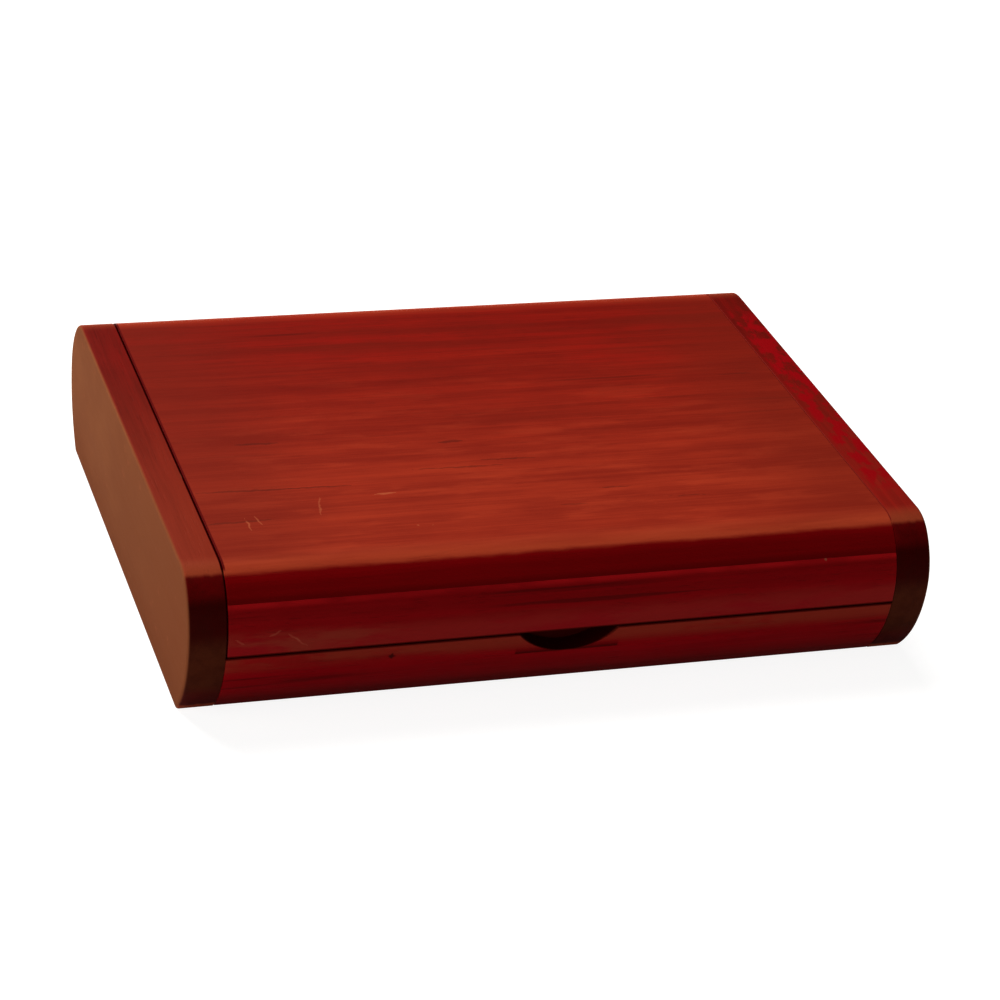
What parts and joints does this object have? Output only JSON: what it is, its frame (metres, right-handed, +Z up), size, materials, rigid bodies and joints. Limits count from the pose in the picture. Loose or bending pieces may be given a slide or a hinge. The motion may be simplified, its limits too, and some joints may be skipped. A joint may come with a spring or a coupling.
{
  "type": "poker chip case",
  "caption": "Flip-top hardwood poker chip case with rounded front and back, solid end blocks, a pin-hinged lid, a thumb notch, half-round chip racks and felt-floored wells.",
  "frame": {"origin": "centre of the underside, midway between the outer faces of the end blocks and midway between front and back", "axes": "+X along the case to the right end block as seen from the front, +Y to the hinge side at the back, +Z up"},
  "size_m": [0.28, 0.2192, 0.0574],
  "materials": {
    "stained_end_block": "rosewood-red stained hardwood, satin lacquer, browner and more matte on the outer faces",
    "stained_lid_top": "rosewood-red stained hardwood, satin lacquer",
    "stained_rail": "dark rosewood-red stained hardwood, satin lacquer",
    "inner_wood": "stained hardwood, thin matte lacquer",
    "green_felt": "short-napped wool felt",
    "beech_dowel": "bare beech",
    "steel_pin": "drawn steel rod"
  },
  "bodies": {
    "case": {"left_end_block": "stained_end_block", "right_end_block": "stained_end_block", "bottom_panel": "inner_wood", "base_front_rail": "stained_rail", "base_back_rail": "stained_rail", "hinge_pin_left": "steel_pin", "hinge_pin_right": "steel_pin", "dowel_front_left": "beech_dowel", "dowel_front_right": "beech_dowel", "dowel_back_left": "beech_dowel", "dowel_back_right": "beech_dowel", "chip_rack_left": "inner_wood", "chip_rack_right": "inner_wood", "partition_left": "inner_wood", "partition_right": "inner_wood", "partition_cross": "inner_wood", "card_well_felt": "green_felt", "dice_well_felt": "green_felt"},
    "lid": {"lid_top_panel": "stained_lid_top", "lid_front_rail": "stained_rail", "lid_back_rail": "stained_rail", "lid_lining": "green_felt"}
  },
  "joints": [
    {"name": "lid_hinge", "type": "hinge", "parent": "case", "child": "lid", "pos_m": [0, 0.10451, 0.02795], "axis": [-1, 0, 0], "range_deg": [0, 100]}
  ]
}
